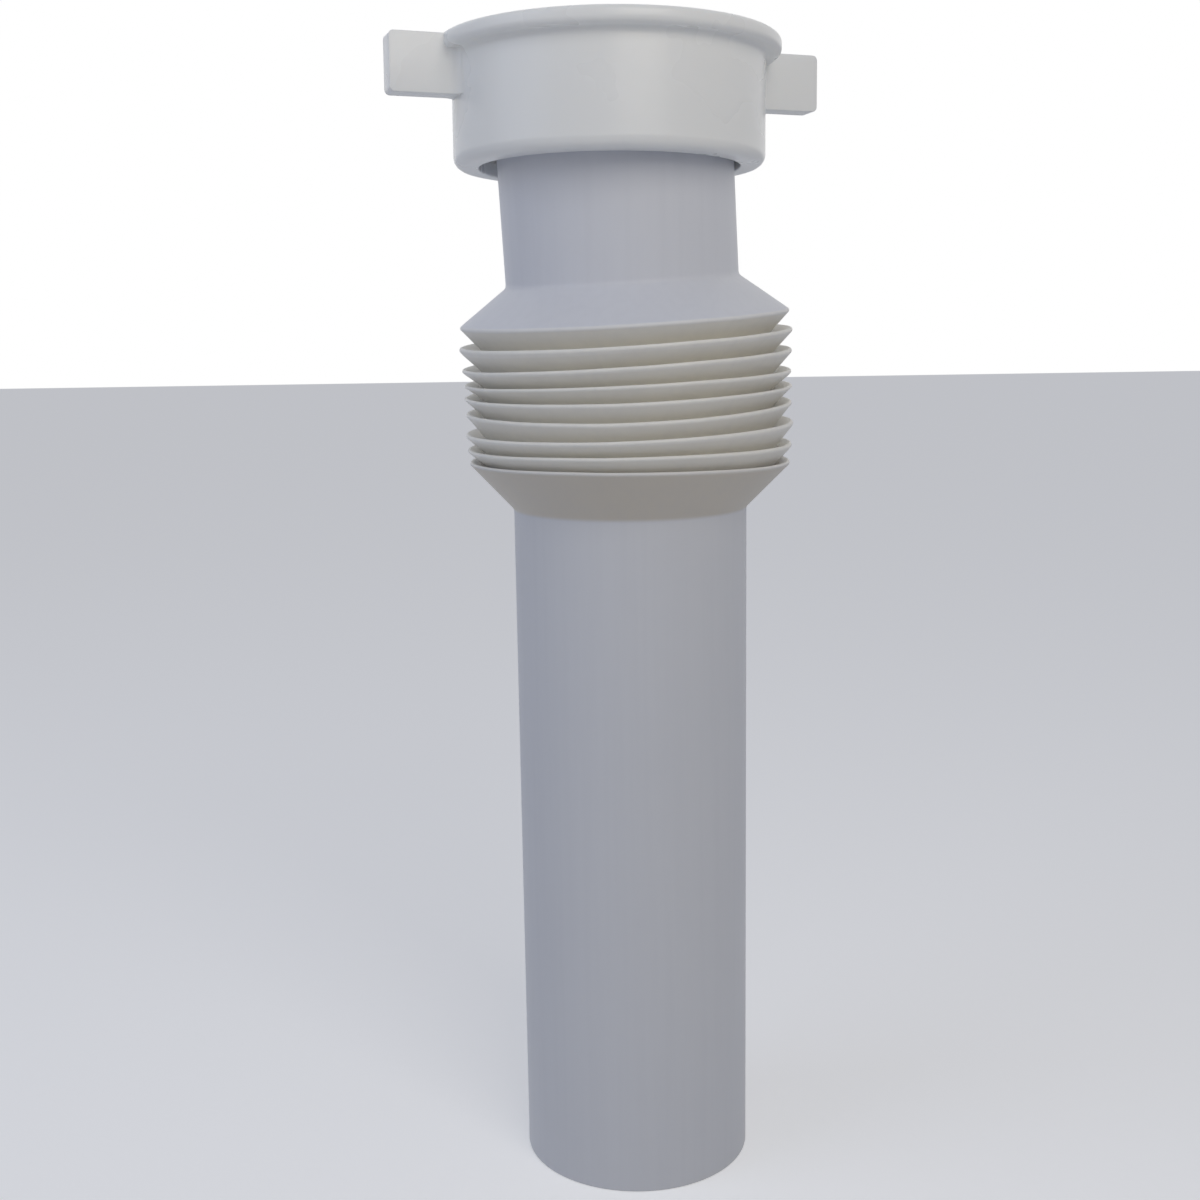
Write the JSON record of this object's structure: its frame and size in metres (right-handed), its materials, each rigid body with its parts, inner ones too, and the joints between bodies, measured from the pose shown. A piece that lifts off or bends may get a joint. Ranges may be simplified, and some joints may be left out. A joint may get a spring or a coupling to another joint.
{
  "type": "flexible extension tube",
  "caption": "Plastic waste extension tube with a plain spigot, a bellows of pushed-together folds and a flanged neck that carries a loose winged slip nut and a flat washer.",
  "frame": {"origin": "centre of the spigot's square-cut lower end", "axes": "+Z along the spigot, up to the bellows, the neck and the nut; -Y towards the viewer of the picture, +X to the viewer's right"},
  "size_m": [0.0676, 0.0549, 0.1855],
  "materials": {
    "tube_plastic": "satin",
    "washer_plastic": "satin",
    "nut_plastic": "gloss"
  },
  "bodies": {
    "tube": {"flexible_tube": "tube_plastic", "sealing_washer": "washer_plastic"},
    "nut": {"slip_nut": "nut_plastic"}
  },
  "joints": [
    {"name": "nut_spin", "type": "hinge", "parent": "tube", "child": "nut", "pos_m": [-0.0027, -0.00244, 0.16526], "axis": [0.005, 0.0436, 0.999], "continuous": true}
  ]
}
